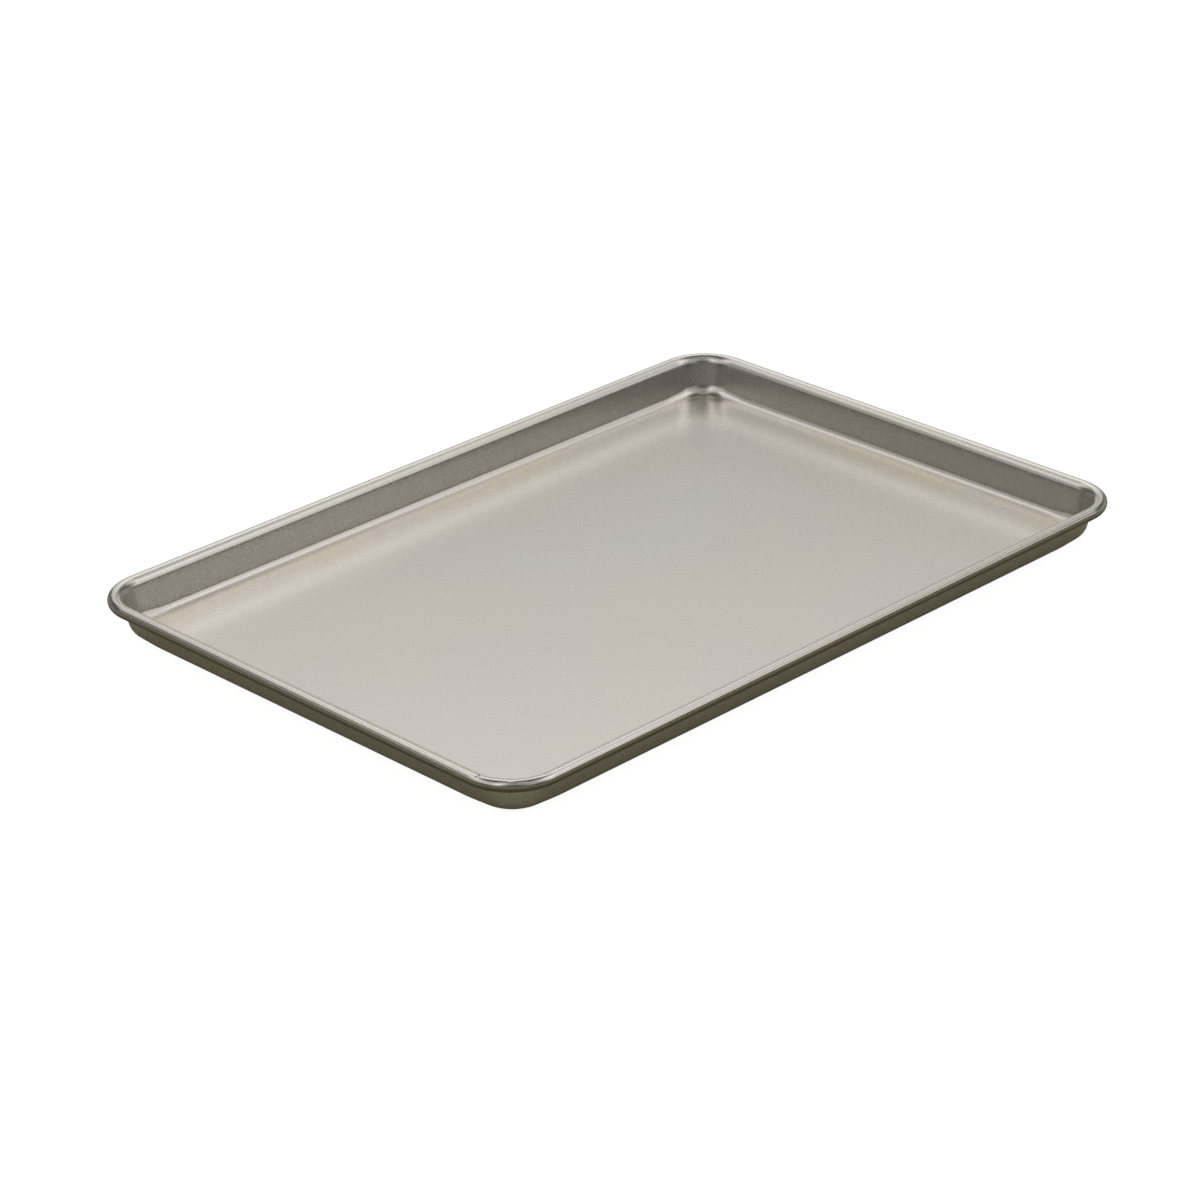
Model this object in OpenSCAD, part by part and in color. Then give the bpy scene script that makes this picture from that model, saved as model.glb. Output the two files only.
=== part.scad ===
// Jelly roll pan: a shallow tray pressed from one sheet of steel, its edge curled round a wire.
// Millimetres, +Z up. The origin is on the table, under the middle of the pan.
// X runs along the long sides and Y along the short sides.

/* [Pan] */
// Overall length, over the rolled rim
pan_len = 405; // [250:1:600]
// Overall width, over the rolled rim
pan_wid = 277; // [180:1:450]
// Overall height, from the table to the top of the rolled rim
pan_h = 20; // [14:0.5:36]
// Radius of the corners in plan, to the outside of the rolled rim
corner_r = 26; // [22:0.5:70]

/* [Pressed sheet] */
// Thickness of the steel sheet
sheet_t = 0.8; // [0.5:0.05:1.5]
// Lean of the walls away from upright, in degrees
wall_draft = 12; // [5:0.5:20]
// Inside radius of the cove where the floor turns up into the wall
cove_r = 4.5; // [2:0.25:7]

/* [Rolled rim] */
// Diameter of the wire that the rim is rolled round
wire_d = 3.8; // [2:0.1:6]
// Gap all round between the wire and the curl
wire_clear = 0.05; // [0.02:0.01:0.2]
// How far the edge is rolled round the wire from the top of the rim, in degrees
curl_turn = 240; // [180:5:250]
// How much larger the radius of the shoulder between wall and curl is than that of the curl
shoulder_more = 2; // [1:0.25:3]
// Gap between the two ends of the wire
wire_end_gap = 1.5; // [0.5:0.25:10]

/* [Hidden] */
$fn = 96;

// Inside and outside radius of the curl
curl_r = wire_d / 2 + wire_clear;
bead_r = curl_r + sheet_t;

// Inside and outside radius of the shoulder
shoulder_in_r = curl_r + shoulder_more;
shoulder_r = bead_r + shoulder_more;

// Neighbouring parts of the section cut this deep into each other, so that they fuse cleanly
bite = 0.001;
// The wall reaches this far into the bend at each of its ends
lap = 0.3;
// Half the thickness of a bend runs on into its neighbour by this angle
lap_a = 8;

// Every section is drawn on a plane that stands on a corner's upright axis.
// There x runs outwards from the axis and y runs up from the table.
// The wall is tangent to the cove below it and to the shoulder above it.
// The centres of those two bends lie bend_gap apart across the wall and wall_len along it.
bend_gap = cove_r + shoulder_r - 2 * bite;
wall_rise = pan_h - bite - shoulder_r - sheet_t - cove_r;
wall_len = (wall_rise + bend_gap * sin(wall_draft)) / cos(wall_draft);
wall_run = bend_gap * cos(wall_draft) + wall_len * sin(wall_draft);

// Width of the floor from a corner's axis to the foot of the cove
floor_run = corner_r - bead_r - wall_run;

// Length of the straight runs between the corners' axes
run_x = pan_len - 2 * corner_r;
run_y = pan_wid - 2 * corner_r;

// Widest step between two rays of the wedge that cuts a bend from a ring, in degrees
wedge_step = 60;

// A point given by its distance and direction
function polar(r, a) = r * [cos(a), sin(a)];

// A bend of the sheet, from one direction to another.
// Its outer half runs on past its far end, and its inner half starts this angle early.
module bend(inner_r, from, to, early = 0) {
    outer_r = inner_r + sheet_t;
    mid_r = inner_r + sheet_t / 2;
    steps = ceil((to - from) / wedge_step);
    intersection() {
        difference() {
            circle(r = outer_r);
            circle(r = inner_r);
        }
        polygon([
            [0, 0],
            if (early > 0) each [polar(mid_r, from - early), polar(mid_r, from)],
            for (i = [0:steps]) polar(2 * outer_r, from + (to - from) * i / steps),
            polar(2 * outer_r, to + lap_a),
            polar(mid_r, to + lap_a),
            polar(mid_r, to)
        ]);
    }
}

// Places a shape at the centre of the cove
module at_cove() {
    translate([floor_run, sheet_t + cove_r])
        children();
}

// Places a shape at the centre of the shoulder
module at_shoulder() {
    translate([corner_r - bead_r, pan_h - bite - shoulder_r])
        children();
}

// Places a shape at the centre of the wire, straight above the centre of the shoulder
module at_wire() {
    translate([corner_r - bead_r, pan_h - bead_r])
        children();
}

// The floor, from a corner's axis into the cove
module floor_strip() {
    polygon([
        [0, 0],
        [floor_run, 0],
        [floor_run + sheet_t / 2, sheet_t / 2],
        [floor_run, sheet_t],
        [0, sheet_t]
    ]);
}

// The wall, upright as drawn, with the cove's centre at the origin
module wall_strip() {
    inner_x = cove_r - bite;
    mid_x = inner_x + sheet_t / 2;
    outer_x = inner_x + sheet_t;
    polygon([
        [inner_x, -lap],
        [mid_x, -lap],
        [outer_x, 0],
        [outer_x, wall_len + lap],
        [mid_x, wall_len + lap],
        [inner_x, wall_len]
    ]);
}

// The sheet cut through one wall: floor, cove, leaning wall, shoulder and curl
module sheet_section() {
    floor_strip();
    at_cove()
        bend(cove_r, -90, -wall_draft);
    at_cove()
        rotate(-wall_draft)
            wall_strip();
    at_shoulder()
        bend(shoulder_in_r, 90, 180 - wall_draft, lap_a);
    at_wire()
        bend(curl_r, 90 - curl_turn, 90);
}

// The wire cut square across
module wire_section() {
    at_wire()
        circle(d = wire_d);
}

// Sweeps a section round the four corners and along the four sides
module all_round() {
    corners = [[1, 1], [-1, 1], [-1, -1], [1, -1]];
    for (k = [0:3])
        translate([corners[k].x * run_x / 2, corners[k].y * run_y / 2, 0])
            rotate([0, 0, 90 * k]) {
                rotate_extrude(angle = 90)
                    children();
                rotate([90, 0, 0])
                    linear_extrude(height = k % 2 == 0 ? run_y : run_x)
                        children();
            }
}

// The pressed tray, one unbroken sheet from the middle of the floor to the edge of the curl
module pan_tray() {
    color("#BEBAAE")
        union() {
            all_round()
                sheet_section();
            translate([-run_x / 2, -run_y / 2, 0])
                cube([run_x, run_y, sheet_t]);
        }
}

// The wire inside the rim, its ends facing each other half way along the back
module rim_wire() {
    color("#9A9C9E")
        difference() {
            all_round()
                wire_section();
            translate([-wire_end_gap / 2, pan_wid / 2 - corner_r, 0])
                cube([wire_end_gap, corner_r, pan_h]);
        }
}

pan_tray();
rim_wire();
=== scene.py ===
# %% [markdown]
# # A jelly roll pan in satin aluminised steel
#
# This lesson dresses the CAD model of a shallow baking pan. The real pan is one blank of thin
# steel that a press pushes into a tray, and its edge is then rolled round a steel wire. The
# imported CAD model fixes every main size. Blender adds what a press and a coating leave behind:
# coves that open out in the corners, small marks in the rolled rim, and a dull silvery skin.

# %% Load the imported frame
import math

import bmesh
import bpy
from mathutils import Matrix, Vector


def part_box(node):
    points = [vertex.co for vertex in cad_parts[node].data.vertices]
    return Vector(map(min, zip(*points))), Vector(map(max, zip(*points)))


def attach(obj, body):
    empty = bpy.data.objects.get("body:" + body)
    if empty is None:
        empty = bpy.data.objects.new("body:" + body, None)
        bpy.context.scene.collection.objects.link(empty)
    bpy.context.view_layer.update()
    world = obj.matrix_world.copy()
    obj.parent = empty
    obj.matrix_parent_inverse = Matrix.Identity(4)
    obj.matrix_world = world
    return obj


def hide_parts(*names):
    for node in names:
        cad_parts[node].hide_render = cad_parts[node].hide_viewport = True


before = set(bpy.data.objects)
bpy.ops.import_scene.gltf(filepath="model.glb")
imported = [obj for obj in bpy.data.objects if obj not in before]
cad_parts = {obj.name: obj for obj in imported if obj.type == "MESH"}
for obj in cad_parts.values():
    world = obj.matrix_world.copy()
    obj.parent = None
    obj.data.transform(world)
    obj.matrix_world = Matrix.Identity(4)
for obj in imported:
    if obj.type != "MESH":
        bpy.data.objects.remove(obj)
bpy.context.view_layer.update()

# %% [markdown]
# ## Units, colours and nodes
#
# The drawing is in millimetres and Blender works in metres, so sizes are written in millimetres
# and multiplied once. Colours are picked as sRGB hex values, as a colour picker shows them, and
# turned to linear light here. Every node tree below is built with one small function.

# %% Millimetres, colours and the node helper
MM = 0.001


def linear(hex_colour):
    """Turns an sRGB hex colour into the linear RGBA that Blender's sockets take."""
    channels = [int(hex_colour[i : i + 2], 16) / 255 for i in (1, 3, 5)]
    return [c / 12.92 if c <= 0.04045 else ((c + 0.055) / 1.055) ** 2.4 for c in channels] + [1.0]


def add(tree, kind, inputs=(), out=0, **settings):
    """Adds a node, fills or links its inputs by place or by name, and returns one output."""
    node = tree.nodes.new(kind)
    for name, value in settings.items():
        setattr(node, name, value)
    pairs = inputs.items() if isinstance(inputs, dict) else enumerate(inputs)
    for key, value in pairs:
        if isinstance(value, bpy.types.NodeSocket):
            tree.links.new(value, node.inputs[key])
        elif value is not None:
            node.inputs[key].default_value = value
    return node.outputs[out] if len(node.outputs) else node


print("white turns into", linear("#FFFFFF"))

# %% [markdown]
# ## The camera
#
# The camera stands where the photograph was taken from. A long lens, far away, keeps the two
# pairs of rims nearly parallel. Its place was worked out from the straight edges of the rim, the
# coves and the base, so it is given by its direction, its distance and the point it looks at.

# %% Place the camera
camera_turn = math.radians(44.774)  # from +Y towards +X, the way the camera looks
camera_dip = math.radians(25.846)
camera_roll = math.radians(-0.932)
camera_distance = 1770.3 * MM
aim_right, aim_up = -8.947 * MM, -8.516 * MM  # where it looks, sideways and up from the origin
focal_length, sensor_width = 114.855, 36.0  # in millimetres, as Blender's lenses are
nearest, furthest = 0.05, 60  # in metres, what the camera can see

looking = Vector((
    math.sin(camera_turn) * math.cos(camera_dip),
    math.cos(camera_turn) * math.cos(camera_dip),
    -math.sin(camera_dip),
))
level = Vector((math.cos(camera_turn), -math.sin(camera_turn), 0))
upward = level.cross(looking)
right = math.cos(camera_roll) * level + math.sin(camera_roll) * upward
up = -math.sin(camera_roll) * level + math.cos(camera_roll) * upward

camera = bpy.data.objects.new("camera", bpy.data.cameras.new("camera"))
camera.data.lens, camera.data.sensor_width = focal_length, sensor_width
camera.data.clip_start, camera.data.clip_end = nearest, furthest
camera.matrix_world = Matrix.Translation(
    -looking * camera_distance + level * aim_right + upward * aim_up
) @ Matrix((right, up, -looking)).transposed().to_4x4()
bpy.context.scene.collection.objects.link(camera)
bpy.context.scene.camera = camera
print("camera at", [round(v, 4) for v in camera.matrix_world.translation])

# %% [markdown]
# ## Aluminised steel
#
# The sheet is cold rolled steel, hot dipped in aluminium with a little silicon. The coating
# freezes to an even, slightly warm grey that mirrors softly. Four things keep it from looking
# like painted plastic. Wide clouds lean a little more or less to yellow, where the coating is
# thicker or thinner. A fine grain makes the mirror uneven. On the walls, the die has left faint
# upright draw marks. The rolled bead is burnished. Painted shade darkens the fold under the bead,
# where its shadow lies. The press stores three numbers on the sheet for those: how far along the
# wall a point is, whether it is on the wall at all, and how far round the curl it is.

# %% Name the real sizes of the steel's patterns
cloud_width = 110 * MM  # the coating pools and thins over this width
grain_width = 0.5 * MM  # the real crystals of 0.1 mm are too fine to show in the render
grain_depth = 0.1 * MM
grain_strength = 0.009
draw_mark_gap = 1.4 * MM
draw_mark_squeeze = 0.05  # a mark is twenty times as tall as wide, so it runs up most of the wall
draw_mark_shade = 0.035  # how much lighter or darker a mark is than the steel beside it
draw_mark_depth = 0.5  # how far a mark rises or sinks, as a share of the grain's depth
noise_low, noise_high = 0.3, 0.7  # nearly all values of a noise pattern lie between these
cloud_low, cloud_high = 0.35, 0.65  # closer together, so that the clouds stand out a little more
bead_turn = math.radians(30)  # the bead is fully burnished from this far round the curl
bead_roughness = 0.85  # as a share of the flat sheet's
fold_shade_start, fold_shade_end = math.radians(62), math.radians(100)  # where on the curl the painted shade of the fold starts, and where it is full
# Painted shade: the fold under the bead is turned towards this darker colour, in place of the
# shadow there
fold_shade_colour = "#92897B"
print("clouds of", cloud_width / MM, "mm and grain of", grain_width / MM, "mm")


# %% Build the satin metal
def satin_steel(name, warm, cool, roughest, smoothest):
    """A metal between two greys, with clouds, grain and draw marks in real sizes."""
    finish = bpy.data.materials.new(name)
    finish.use_nodes = True
    tree = finish.node_tree
    tree.nodes.clear()
    place = add(tree, "ShaderNodeTexCoord", out=3)
    height = add(tree, "ShaderNodeSeparateXYZ", [place], out=2)
    clouds = add(tree, "ShaderNodeTexNoise", {
        "Vector": place, "Scale": 1 / cloud_width, "Detail": 2.0, "Roughness": 0.45})
    grain = add(tree, "ShaderNodeTexNoise", {
        "Vector": place, "Scale": 1 / grain_width, "Detail": 2.0})
    # Draw marks are drawn on the wall laid out flat, and fade out on the floor and the bead
    along = add(tree, "ShaderNodeAttribute", attribute_name="along_wall", out=2)
    on_wall = add(tree, "ShaderNodeAttribute", attribute_name="on_wall", out=2)
    squeezed = add(tree, "ShaderNodeMath", [height, draw_mark_squeeze], operation="MULTIPLY")
    laid_out = add(tree, "ShaderNodeCombineXYZ", [along, squeezed])
    draw_marks = add(tree, "ShaderNodeTexNoise", {
        "Vector": laid_out, "Scale": 1 / draw_mark_gap, "Detail": 1.0})
    draw_marks = add(tree, "ShaderNodeMapRange", [draw_marks, noise_low, noise_high, -1.0, 1.0])
    draw_marks = add(tree, "ShaderNodeMath", [draw_marks, on_wall], operation="MULTIPLY")

    tint = add(tree, "ShaderNodeMapRange", [clouds, cloud_low, cloud_high, 0.0, 1.0])
    colour = add(tree, "ShaderNodeMix", {"Factor": tint, "A": linear(cool), "B": linear(warm)},
                 out=2, data_type="RGBA")
    shade = add(tree, "ShaderNodeMath", [draw_marks, draw_mark_shade, 1.0],
                operation="MULTIPLY_ADD")
    colour = add(tree, "ShaderNodeVectorMath", {0: colour, "Scale": shade}, operation="SCALE")
    gloss = add(tree, "ShaderNodeMapRange", [grain, noise_low, noise_high, roughest, smoothest])
    relief = add(tree, "ShaderNodeMath", [draw_marks, draw_mark_depth, grain],
                 operation="MULTIPLY_ADD")
    relief = add(tree, "ShaderNodeBump", {
        "Strength": grain_strength, "Distance": grain_depth, "Height": relief})
    # Rolling burnishes the bead, and painted shade darkens the fold under it, where the shadow lies
    rolled = add(tree, "ShaderNodeAttribute", attribute_name="curl_angle", out=2)
    burnished = add(tree, "ShaderNodeMapRange", [rolled, 0.0, bead_turn, 1.0, bead_roughness])
    gloss = add(tree, "ShaderNodeMath", [gloss, burnished], operation="MULTIPLY")
    # Painted shade: mixes the colour towards the darker fold colour, fully from the fold's end
    # onwards
    painted_fold_shade = add(tree, "ShaderNodeMapRange", [rolled, fold_shade_start, fold_shade_end, 0.0, 1.0],
                 interpolation_type="SMOOTHSTEP")
    colour = add(tree, "ShaderNodeMix", {"Factor": painted_fold_shade, "A": colour, "B": linear(fold_shade_colour)},
                 out=2, data_type="RGBA")
    shader = add(tree, "ShaderNodeBsdfPrincipled", {
        "Base Color": colour, "Metallic": 1.0, "Roughness": gloss, "Normal": relief})
    add(tree, "ShaderNodeOutputMaterial", {"Surface": shader})
    return finish


aluminised_steel = satin_steel("aluminised_steel_satin", "#E8E3D8", "#E7E2DB", 0.33, 0.25)
print("material:", aluminised_steel.name)

# %% [markdown]
# ## Pressing the tray
#
# A real press starts with a flat blank, so this one does too: a grid of square cells. One rule
# then moves every corner of a cell to its place in the pressed tray. Cells inside the four
# corner axes stay flat, and are narrower next to the corners, where the cove changes. Outside
# them the cells form rings, and a ring's number says how far along the section it is: floor,
# cove, leaning wall, shoulder, curl. In the corner blocks the square rings are bent round the
# corner's axis. A modelled box with bevels could not keep one thickness round the curl, while
# this rule gives clean rings and one unbroken sheet.

# %% Sizes of the pan, in millimetres and degrees, as drawn in the CAD source
pan_low, pan_high = (Vector(corner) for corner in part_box("pan_tray"))
pan_size = pan_high - pan_low
corner_radius = 26.0
sheet = 0.8
wall_draft = 12.0
cove_radius = 4.5
wire_diameter = 3.8
wire_clearance = 0.05
shoulder_more = 2.0
curl_turn = 240.0
print("pan in mm:", [round(v / MM, 2) for v in pan_size])

# %% Sizes of the wider cove in the corners, as seen in the photograph
corner_cove_radius = 7.0
corner_run_in = 14.0
corner_blend = 0.6  # the share of half a bend over which the cove finishes opening
print("the cove opens from", cove_radius, "to", corner_cove_radius, "mm")

# %% Start the tree, with named inputs for every size and count
press = bpy.data.node_groups.new("press_the_sheet", "GeometryNodeTree")
press.interface.new_socket("Geometry", in_out="INPUT", socket_type="NodeSocketGeometry")
press.interface.new_socket("Geometry", in_out="OUTPUT", socket_type="NodeSocketGeometry")
sizes = {
    "Length": pan_size.x,
    "Width": pan_size.y,
    "Height": pan_size.z,
    "Corner radius": corner_radius * MM,
    "Sheet": sheet * MM,
    "Wall draft": math.radians(wall_draft),
    "Cove radius": cove_radius * MM,
    "Corner cove radius": corner_cove_radius * MM,
    "Corner run-in": corner_run_in * MM,
    "Corner blend": corner_blend,
    "Wire diameter": wire_diameter * MM,
    "Wire clearance": wire_clearance * MM,
    "Shoulder more": shoulder_more * MM,
    "Curl turn": math.radians(curl_turn),
}
counts = {
    "Cells along": 60,
    "Cells across": 38,
    "Run-in cells": 7,
    "Floor rings": 4,
    "Cove rings": 10,
    "Wall rings": 5,
    "Shoulder rings": 10,
    "Curl rings": 30,
}
for name in sizes:
    press.interface.new_socket(name, in_out="INPUT", socket_type="NodeSocketFloat")
for name in counts:
    press.interface.new_socket(name, in_out="INPUT", socket_type="NodeSocketInt")
given = press.nodes.new("NodeGroupInput").outputs
print("tree inputs:", [*sizes, *counts])

# %% Count the rings and lay out the flat blank
floor_end = given["Floor rings"]
cove_end = add(press, "ShaderNodeMath", [floor_end, given["Cove rings"]], operation="ADD")
wall_end = add(press, "ShaderNodeMath", [cove_end, given["Wall rings"]], operation="ADD")
shoulder_end = add(press, "ShaderNodeMath", [wall_end, given["Shoulder rings"]], operation="ADD")
curl_end = add(press, "ShaderNodeMath", [shoulder_end, given["Curl rings"]], operation="ADD")
blank_cells = {}
for side in ("Cells along", "Cells across"):
    blank_cells[side] = add(press, "ShaderNodeMath", [curl_end, 2.0, given[side]],
                            operation="MULTIPLY_ADD")
    blank_cells[side + " lines"] = add(press, "ShaderNodeMath", [blank_cells[side], 1.0],
                                       operation="ADD")
blank = add(press, "GeometryNodeMeshGrid", {
    "Size X": blank_cells["Cells along"],
    "Size Y": blank_cells["Cells across"],
    "Vertices X": blank_cells["Cells along lines"],
    "Vertices Y": blank_cells["Cells across lines"],
})

# %% Find each vertex's ring, its corner angle and the point it is measured from
spot = add(press, "GeometryNodeInputPosition")
spot_xyz = press.nodes.new("ShaderNodeSeparateXYZ")
press.links.new(spot, spot_xyz.inputs[0])
bead_radius = add(press, "ShaderNodeMath", [given["Wire diameter"], 0.5, given["Wire clearance"]],
                  operation="MULTIPLY_ADD")
bead_radius = add(press, "ShaderNodeMath", [bead_radius, given["Sheet"]], operation="ADD")
beyond, anchor, side_sign, short_of_corner = [], [], [], []
for axis, cells, length in ((0, "Cells along", "Length"), (1, "Cells across", "Width")):
    half_cells = add(press, "ShaderNodeMath", [given[cells], 0.5], operation="MULTIPLY")
    distance = add(press, "ShaderNodeMath", [spot_xyz.outputs[axis]], operation="ABSOLUTE")
    outside = add(press, "ShaderNodeMath", [distance, half_cells], operation="SUBTRACT")
    beyond.append(add(press, "ShaderNodeMath", [outside, 0.0], operation="MAXIMUM"))
    side_sign.append(add(press, "ShaderNodeMath", [spot_xyz.outputs[axis]], operation="SIGN"))
    half_run = add(press, "ShaderNodeMath", [given[length], 0.5], operation="MULTIPLY")
    half_run = add(press, "ShaderNodeMath", [half_run, given["Corner radius"]],
                   operation="SUBTRACT")
    wide_cells = add(press, "ShaderNodeMath", [half_cells, given["Run-in cells"]],
                     operation="SUBTRACT")
    wide_run = add(press, "ShaderNodeMath", [half_run, given["Corner run-in"]],
                   operation="SUBTRACT")
    wide = add(press, "ShaderNodeMapRange", [distance, 0.0, wide_cells, 0.0, wide_run])
    narrow = add(press, "ShaderNodeMapRange", [
        distance, wide_cells, half_cells, 0.0, given["Corner run-in"]])
    anchor.append(add(press, "ShaderNodeMath", [wide, narrow], operation="ADD"))
    short_of_corner.append(add(press, "ShaderNodeMath", [half_run, anchor[-1]],
                               operation="SUBTRACT"))
ring = add(press, "ShaderNodeMath", beyond, operation="MAXIMUM")
not_zero = 1e-6
ring_or_tiny = add(press, "ShaderNodeMath", [ring, not_zero], operation="MAXIMUM")
lead = add(press, "ShaderNodeMath", [beyond[1], beyond[0]], operation="SUBTRACT")
lead = add(press, "ShaderNodeMath", [lead, ring_or_tiny], operation="DIVIDE")
eighth_turn = math.pi / 4
corner_angle = add(press, "ShaderNodeMath", [lead, eighth_turn, eighth_turn],
                   operation="MULTIPLY_ADD")
lead_size = add(press, "ShaderNodeMath", [lead], operation="ABSOLUTE")
into_corner = add(press, "ShaderNodeMath", [1.0, lead_size], operation="SUBTRACT")

# %% [markdown]
# The section is drawn as a sheet metal worker would: a floor line and a wall line that meet at a
# sharp point, and a cove of any radius that is tangent to both. A larger cove uses up more of
# each line. On the straight sides the cove is tight. In the corners the metal is squeezed
# together as it is drawn in, and the punch is rounder there, so the cove opens out, starting a
# little before each bend.

# %% Work out the floor line and the wall line
half_sheet = add(press, "ShaderNodeMath", [given["Sheet"], 0.5], operation="MULTIPLY")
curl_radius = add(press, "ShaderNodeMath", [bead_radius, half_sheet], operation="SUBTRACT")
draft_sin = add(press, "ShaderNodeMath", [given["Wall draft"]], operation="SINE")
draft_cos = add(press, "ShaderNodeMath", [given["Wall draft"]], operation="COSINE")
wire_out = add(press, "ShaderNodeMath", [given["Corner radius"], bead_radius], operation="SUBTRACT")
wire_up = add(press, "ShaderNodeMath", [given["Height"], bead_radius], operation="SUBTRACT")
shoulder_radius = add(press, "ShaderNodeMath", [curl_radius, given["Shoulder more"]],
                      operation="ADD")
shoulder_up = add(press, "ShaderNodeMath", [wire_up, given["Shoulder more"]], operation="SUBTRACT")
shoulder_in = add(press, "ShaderNodeMath", [shoulder_radius, draft_cos], operation="MULTIPLY")
wall_top_out = add(press, "ShaderNodeMath", [wire_out, shoulder_in], operation="SUBTRACT")
wall_top_up = add(press, "ShaderNodeMath", [shoulder_radius, draft_sin, shoulder_up],
                  operation="MULTIPLY_ADD")
wall_rise = add(press, "ShaderNodeMath", [wall_top_up, half_sheet], operation="SUBTRACT")
wall_line = add(press, "ShaderNodeMath", [wall_rise, draft_cos], operation="DIVIDE")
wall_lean = add(press, "ShaderNodeMath", [wall_line, draft_sin], operation="MULTIPLY")
floor_line = add(press, "ShaderNodeMath", [wall_top_out, wall_lean], operation="SUBTRACT")

# %% Open the cove from its tight radius to its wide one on the way into each corner
opened_before_bend = 0.7  # the share of the way, before smoothing, on the straight run-in
run_left = add(press, "ShaderNodeMath", short_of_corner, operation="ADD")
run_share = add(press, "ShaderNodeMapRange", [
    run_left, given["Corner run-in"], 0.0, 0.0, opened_before_bend])
turn_share = add(press, "ShaderNodeMapRange", [
    into_corner, 0.0, given["Corner blend"], 0.0, 1 - opened_before_bend])
corner_share = add(press, "ShaderNodeMath", [run_share, turn_share], operation="ADD")
corner_share = add(press, "ShaderNodeMapRange", [corner_share], interpolation_type="SMOOTHSTEP")
inside_cove = add(press, "ShaderNodeMix", {
    "Factor": corner_share, "A": given["Cove radius"], "B": given["Corner cove radius"]},
    data_type="FLOAT")
cove = add(press, "ShaderNodeMath", [inside_cove, half_sheet], operation="ADD")
cove_turn_whole = add(press, "ShaderNodeMath", [math.pi / 2, given["Wall draft"]],
                      operation="SUBTRACT")
half_turn = add(press, "ShaderNodeMath", [cove_turn_whole, 0.5], operation="MULTIPLY")
half_turn_tan = add(press, "ShaderNodeMath", [half_turn], operation="TANGENT")
used_up = add(press, "ShaderNodeMath", [cove, half_turn_tan], operation="MULTIPLY")
floor_flat = add(press, "ShaderNodeMath", [floor_line, used_up], operation="SUBTRACT")
wall_flat = add(press, "ShaderNodeMath", [wall_line, used_up], operation="SUBTRACT")

# %% [markdown]
# A wide shoulder carries the wall over to the top of the rim, and the tighter curl takes it on,
# outwards, down and back under the wire. Each part of the section adds its own step outwards and
# upwards, and each is held at its full amount once the rings have passed it, so that the five
# parts can simply be summed.

# %% Turn ring numbers into steps outwards and upwards
floor_step = add(press, "ShaderNodeMapRange", [ring, 0.0, floor_end, 0.0, floor_flat])
cove_turn = add(press, "ShaderNodeMapRange", [ring, floor_end, cove_end, 0.0, cove_turn_whole])
wall_step = add(press, "ShaderNodeMapRange", [ring, cove_end, wall_end, 0.0, wall_flat])
shoulder_turn = add(press, "ShaderNodeMapRange", [
    ring, wall_end, shoulder_end, given["Wall draft"], math.pi / 2])
curl_angle = add(press, "ShaderNodeMapRange", [
    ring, shoulder_end, curl_end, 0.0, given["Curl turn"]])

cove_sin = add(press, "ShaderNodeMath", [cove_turn], operation="SINE")
cove_cos = add(press, "ShaderNodeMath", [cove_turn], operation="COSINE")
shoulder_sin = add(press, "ShaderNodeMath", [shoulder_turn], operation="SINE")
shoulder_cos = add(press, "ShaderNodeMath", [shoulder_turn], operation="COSINE")
shoulder_swing = add(press, "ShaderNodeMath", [draft_cos, shoulder_cos], operation="SUBTRACT")
shoulder_lift = add(press, "ShaderNodeMath", [shoulder_sin, draft_sin], operation="SUBTRACT")
curl_sin = add(press, "ShaderNodeMath", [curl_angle], operation="SINE")
curl_cos = add(press, "ShaderNodeMath", [curl_angle], operation="COSINE")
curl_drop = add(press, "ShaderNodeMath", [curl_cos, 1.0], operation="SUBTRACT")
cove_lift = add(press, "ShaderNodeMath", [1.0, cove_cos], operation="SUBTRACT")

outward = add(press, "ShaderNodeMath", [cove, cove_sin, floor_step], operation="MULTIPLY_ADD")
outward = add(press, "ShaderNodeMath", [wall_step, draft_sin, outward], operation="MULTIPLY_ADD")
outward = add(press, "ShaderNodeMath", [shoulder_radius, shoulder_swing, outward],
              operation="MULTIPLY_ADD")
outward = add(press, "ShaderNodeMath", [curl_radius, curl_sin, outward], operation="MULTIPLY_ADD")
height = add(press, "ShaderNodeMath", [cove, cove_lift, half_sheet], operation="MULTIPLY_ADD")
height = add(press, "ShaderNodeMath", [wall_step, draft_cos, height], operation="MULTIPLY_ADD")
height = add(press, "ShaderNodeMath", [shoulder_radius, shoulder_lift, height],
             operation="MULTIPLY_ADD")
height = add(press, "ShaderNodeMath", [curl_radius, curl_drop, height], operation="MULTIPLY_ADD")

# %% Note on the flat blank where its walls and its curl will be, for the finish
side_run = add(press, "ShaderNodeMath", [anchor[1], short_of_corner[0]], operation="ADD")
along_wall = add(press, "ShaderNodeMath", [corner_angle, given["Corner radius"], side_run],
                 operation="MULTIPLY_ADD")
past_cove = add(press, "ShaderNodeMapRange", [ring, floor_end, cove_end, 0.0, 1.0])
before_shoulder = add(press, "ShaderNodeMapRange", [ring, wall_end, shoulder_end, 1.0, 0.0])
on_wall = add(press, "ShaderNodeMath", [past_cove, before_shoulder], operation="MULTIPLY")
for name, value in (("along_wall", along_wall), ("on_wall", on_wall), ("curl_angle", curl_angle)):
    blank = add(press, "GeometryNodeStoreNamedAttribute", {
        "Geometry": blank, "Name": name, "Value": value}, data_type="FLOAT", domain="POINT")

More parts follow.
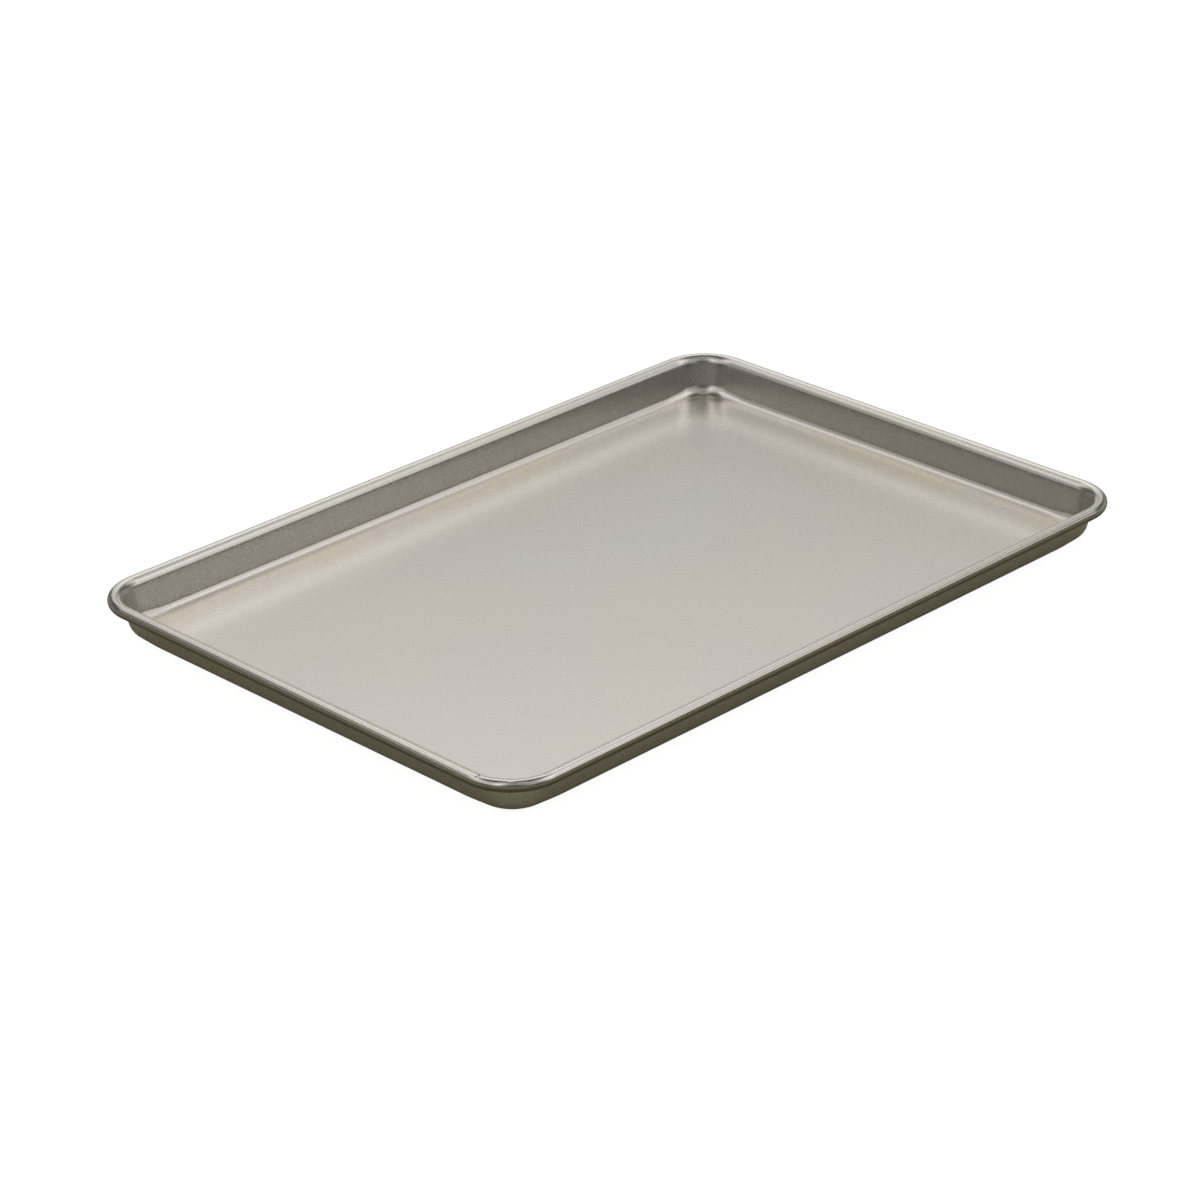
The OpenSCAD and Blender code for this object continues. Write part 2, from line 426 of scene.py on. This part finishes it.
# %% Move every vertex of the blank to its pressed place
corner_cos = add(press, "ShaderNodeMath", [corner_angle], operation="COSINE")
corner_sin = add(press, "ShaderNodeMath", [corner_angle], operation="SINE")
pressed = []
for k, spread in enumerate((corner_cos, corner_sin)):
    reach = add(press, "ShaderNodeMath", [outward, spread, anchor[k]], operation="MULTIPLY_ADD")
    pressed.append(add(press, "ShaderNodeMath", [reach, side_sign[k]], operation="MULTIPLY"))
pressed_spot = add(press, "ShaderNodeCombineXYZ", [*pressed, height])
tray_sheet = add(press, "GeometryNodeSetPosition", {"Geometry": blank, "Position": pressed_spot})
tray_sheet = add(press, "GeometryNodeSetShadeSmooth", {"Geometry": tray_sheet})
tray_sheet = add(press, "GeometryNodeRealizeInstances", {"Geometry": tray_sheet})
tray_sheet = add(press, "GeometryNodeSetMaterial", {
    "Geometry": tray_sheet, "Material": aluminised_steel})
add(press, "NodeGroupOutput", {"Geometry": tray_sheet})
print("the press has", len(press.nodes), "nodes")

# %% [markdown]
# The modifier gets its sizes by each socket's identifier. Solidify then gives the sheet its
# thickness, half on each side, and closes the cut edge. The result is made a plain mesh, with a
# crease only where the cut edge is square.

# %% Run the press and make a plain mesh
sharp_turn = 50  # degrees, a turn that only the cut edge passes
tray = bpy.data.objects.new("pressed_tray", bpy.data.meshes.new("pressed_tray"))
bpy.context.scene.collection.objects.link(tray)
pressing = tray.modifiers.new("press", "NODES")
pressing.node_group = press
for item in press.interface.items_tree:
    if item.in_out == "INPUT" and item.name in {**sizes, **counts}:
        pressing[item.identifier] = {**sizes, **counts}[item.name]
thicken = tray.modifiers.new("sheet thickness", "SOLIDIFY")
thicken.thickness, thicken.offset, thicken.use_even_offset = sheet * MM, 0.0, True


def make_plain(piece, sharp_angle):
    """Replaces a piece's modifiers by their result, with edges sharp where they turn far."""
    graph = bpy.context.evaluated_depsgraph_get()
    mesh = bpy.data.meshes.new_from_object(piece.evaluated_get(graph), depsgraph=graph)
    piece.modifiers.clear()
    piece.data = mesh
    mesh.name = piece.name
    mesh.set_sharp_from_angle(angle=math.radians(sharp_angle))
    return mesh


tray_mesh = make_plain(tray, sharp_turn)
print("tray:", len(tray_mesh.vertices), "vertices,", len(tray_mesh.polygons), "faces")

# %% [markdown]
# ## Marks in the rim
#
# The edge is rolled over the wire in two strokes, first along the sides and then round the
# corners, and each tool leaves a small mark where it lets go. In the corner nearest the camera
# one groove crosses the bead where the bend starts, and a broad, shallow flat lies in the middle
# of the bend. A nick sits low on the short side to the left. They are too small for the blank's
# cells, so planes cut the bead there first, and the outer skin is then pushed towards the wire.

# %% Sink a mark into the bead
bead_outside = (wire_diameter / 2 + wire_clearance + sheet) * MM
cut_reach = 5 * MM  # how far from a mark's middle the planes cut the mesh
cut_places = (-1.0, -0.6, -0.25, 0.0, 0.25, 0.6, 1.0)  # in half widths of the mark
cut_tolerance = 1e-7
fade_angle = 25  # degrees round the bead over which a mark fades out at its ends
skin_play = 0.05  # the outer skin lies within this share of the bead's radius


def nip(mesh, middle, direction, from_angle, to_angle, depth, half_width):
    """Sinks the bead's outer skin towards the wire, across the bead between two angles."""
    middle, direction = Vector(middle) * MM, Vector(direction).normalized()
    outward = direction.cross(Vector((0, 0, 1)))
    shell = bmesh.new()
    shell.from_mesh(mesh)
    for share in cut_places:
        near = [face for face in shell.faces
                if (face.calc_center_median() - middle).length < cut_reach]
        edges = {edge for face in near for edge in face.edges}
        corners = {vert for face in near for vert in face.verts}
        bmesh.ops.bisect_plane(
            shell, geom=[*near, *edges, *corners], dist=cut_tolerance,
            plane_co=middle + direction * share * half_width * MM, plane_no=direction)
    moved = 0
    for vert in shell.verts:
        offset = vert.co - middle
        share = offset.dot(direction) / (half_width * MM)
        spoke = Vector((offset.dot(outward), offset.z))
        if abs(share) >= 1 or abs(spoke.length / bead_outside - 1) >= skin_play:
            continue
        angle = math.degrees(math.atan2(spoke.y, spoke.x))
        fade = min(1.0, max(0.0, min(angle - from_angle, to_angle - angle) / fade_angle))
        sink = depth * MM * fade * (1 - share * share) ** 2 / spoke.length
        vert.co -= (outward * spoke.x + Vector((0, 0, spoke.y))) * sink
        moved += fade > 0
    shell.to_mesh(mesh)
    shell.free()
    print("nip at", [round(v / MM, 1) for v in middle], "moved", moved, "vertices")


print("bead radius in mm:", round(bead_outside / MM, 2))

# %% Press the three marks, in millimetres and degrees
wire_height = pan_size.z / MM - bead_outside / MM
corner_x, corner_y = (side / 2 / MM - corner_radius for side in (pan_size.x, pan_size.y))
wire_bend = corner_radius - bead_outside / MM
# Each corner mark has its place round the corner, its depth and half its width
corner_marks = {"groove": (10, 0.40, 0.9), "flat": (44, 0.15, 2.6)}
mark_from, mark_to = -60, 120  # from under the bead's outside to past its top
for degrees, depth, half_width in corner_marks.values():
    turned = math.radians(degrees)
    spot_on_wire = (-corner_x - wire_bend * math.cos(turned),
                    -corner_y - wire_bend * math.sin(turned), wire_height)
    along_wire = (-math.sin(turned), math.cos(turned), 0)
    nip(tray_mesh, spot_on_wire, along_wire, mark_from, mark_to, depth, half_width)
nick_y, nick_depth, nick_half_width = 68.0, 0.25, 0.8
nick_from, nick_to = -70, 20  # the nick stays low on the bead
nick_on_wire = (-corner_x - wire_bend, nick_y, wire_height)
nip(tray_mesh, nick_on_wire, (0, 1, 0), nick_from, nick_to, nick_depth, nick_half_width)
tray_mesh.set_sharp_from_angle(angle=math.radians(sharp_turn))

# %% Put the tray in the frame
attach(tray, "root")
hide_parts("pan_tray")
print("tray faces after the marks:", len(tray_mesh.polygons))

# %% [markdown]
# ## The wire
#
# A length of galvanised steel wire lies inside the curl and stiffens the rim. The curl hides it,
# and its CAD solid already has the exact shape, so nothing is modelled here. It only gets the
# dull, slightly blue grey of zinc, which is rougher and darker than the sheet.

# %% Finish the wire
galvanised_steel = satin_steel("galvanised_steel_wire", "#B9BBBD", "#A9ABAE", 0.50, 0.38)
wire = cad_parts["rim_wire"]
for place in wire.material_slots:
    place.material = galvanised_steel
print("wire slots:", len(wire.material_slots))

# %% [markdown]
# ## Floor
#
# The pan lies on a plain pale floor that runs out of the picture on all sides. A photographer
# exposes such a floor to pure white, so the camera is shown a floor that glows almost white and
# still takes a faint shadow. The metal is shown a matte, cream board instead, because a glowing
# floor would bleach the outer walls.

# %% Lay the floor
half_floor = 12.0  # in metres
floor_drop = 0.2 * MM  # so that the floor and the underside don't lie in one plane
floor_corners = ((-1, -1), (1, -1), (1, 1), (-1, 1))
board_colour, shadow_colour = "#C4BEA7", "#A0A0A0"
floor_glow = 0.93
floor_mesh = bpy.data.meshes.new("floor")
floor_mesh.from_pydata(
    [(x * half_floor, y * half_floor, -floor_drop) for x, y in floor_corners], [], [(0, 1, 2, 3)])
floor = bpy.data.objects.new("floor", floor_mesh)
bpy.context.scene.collection.objects.link(floor)
floor_finish = bpy.data.materials.new("pale_floor")
floor_finish.use_nodes = True
floor_tree = floor_finish.node_tree
floor_tree.nodes.clear()
seen = add(floor_tree, "ShaderNodeLightPath", out=0)
board = add(floor_tree, "ShaderNodeBsdfDiffuse", {"Color": linear(board_colour)})
white = add(floor_tree, "ShaderNodeEmission", {"Color": linear("#FFFFFF"), "Strength": floor_glow})
shadowed = add(floor_tree, "ShaderNodeBsdfDiffuse", {"Color": linear(shadow_colour)})
bleached = add(floor_tree, "ShaderNodeAddShader", [white, shadowed])
floor_shader = add(floor_tree, "ShaderNodeMixShader", [seen, board, bleached])
add(floor_tree, "ShaderNodeOutputMaterial", {"Surface": floor_shader})
floor_mesh.materials.append(floor_finish)
print("floor", 2 * half_floor, "m wide")

# %% [markdown]
# ## Studio
#
# Satin metal shows its surroundings more than its own colour, so the lamps are what models it.
# They were read off the pan: the floor of the pan mirrors what stands behind it, each cove
# mirrors an arc that runs from there to one side, and the bead mirrors the whole room. One soft
# box hangs behind the pan, one at each side of it and one at each side of the camera, with a
# narrow window beside the one on the left. Dim curtains hang low between them, strips and panels
# run above them, and the walls behind the pan and behind the camera are pale. Each lamp is given
# by its azimuth to the right of the camera's view, its elevation, half its width and height, and
# the softness of its sides, all in degrees, and by its strength.

# %% List the lamps
lamps = {
    "box behind the pan": (-2, 38, 21, 12, 5, 1.00),
    "wall behind the pan": (0, 0, 20, 16, 5, 0.66),
    "curtain on the right": (52, 10, 24, 10, 8, 0.25),
    "curtain on the left": (-52, 10, 24, 10, 8, 0.13),
    "box on the right": (96, 39, 15, 25, 12, 0.89),
    "box on the left": (-99, 35, 14, 23, 12, 0.48),
    "strip above, middle": (0, 50, 42, 7, 8, 0.58),
    "strip above, right": (66, 49, 27, 8, 8, 0.92),
    "strip above, left": (-70, 49, 32, 8, 8, 1.00),
    "box left of the camera": (-135, 52, 23, 34, 8, 0.53),
    "window left of the camera": (-150, 48, 9, 18, 5, 0.55),
    "box right of the camera": (131, 52, 23, 34, 8, 0.38),
    "ceiling above the camera": (180, 54, 28, 14, 10, 0.30),
    "panel overhead": (0, 90, 190, 12, 5, 0.28),
    "wall behind the camera": (180, 0, 36, 26, 5, 0.12),
}
edge_softness = 5  # degrees, at the top and bottom of every lamp
backdrop_glow = 0.07
print("lamps:", list(lamps))

# %% Find where in the sky each ray goes, seen from the camera's side
room = bpy.data.worlds.new("studio")
room.use_nodes = True
bpy.context.scene.world = room
air = room.node_tree
air.nodes.clear()
way = add(air, "ShaderNodeTexCoord", out=0)
way_up = add(air, "ShaderNodeSeparateXYZ", [way], out=2)
elevation = add(air, "ShaderNodeMath", [way_up], operation="ARCSINE")
ahead_axis = (math.sin(camera_turn), math.cos(camera_turn), 0)
way_ahead = add(air, "ShaderNodeVectorMath", [way, ahead_axis], out=1, operation="DOT_PRODUCT")
way_right = add(air, "ShaderNodeVectorMath", [way, tuple(level)], out=1, operation="DOT_PRODUCT")
azimuth = add(air, "ShaderNodeMath", [way_right, way_ahead], operation="ARCTAN2")
print("the camera looks", round(math.degrees(camera_turn), 1), "degrees from +Y towards +X")

# %% Hang the lamps as soft rectangles
glow = add(air, "ShaderNodeMapRange", [way_ahead, 0.0, 1.0, 0.0, backdrop_glow],
           interpolation_type="SMOOTHSTEP")
for lamp_azimuth, lamp_elevation, half_width, half_height, softness, strength in lamps.values():
    lit = strength
    for angle, middle, half, soft in ((azimuth, lamp_azimuth, half_width, softness),
                                      (elevation, lamp_elevation, half_height, edge_softness)):
        off = add(air, "ShaderNodeMath", [angle, math.radians(middle)], operation="SUBTRACT")
        off = add(air, "ShaderNodeMath", [off, math.pi, -math.pi], operation="WRAP")
        off = add(air, "ShaderNodeMath", [off], operation="ABSOLUTE")
        inside = add(air, "ShaderNodeMapRange", [
            off, math.radians(half + soft), math.radians(half - soft), 0.0, 1.0],
            interpolation_type="SMOOTHSTEP")
        lit = add(air, "ShaderNodeMath", [inside, lit], operation="MULTIPLY")
    glow = add(air, "ShaderNodeMath", [glow, lit], operation="ADD")
# Where the camera looks past the floor, it sees plain white
looked_at = add(air, "ShaderNodeLightPath", out=0)
glow = add(air, "ShaderNodeMix", {"Factor": looked_at, "A": glow, "B": 1.0}, data_type="FLOAT")
light = add(air, "ShaderNodeBackground", {"Color": linear("#FFFFFF"), "Strength": glow})
add(air, "ShaderNodeOutputWorld", {"Surface": light})
bpy.context.scene.view_settings.view_transform = "Standard"
print("the studio has", len(air.nodes), "nodes")
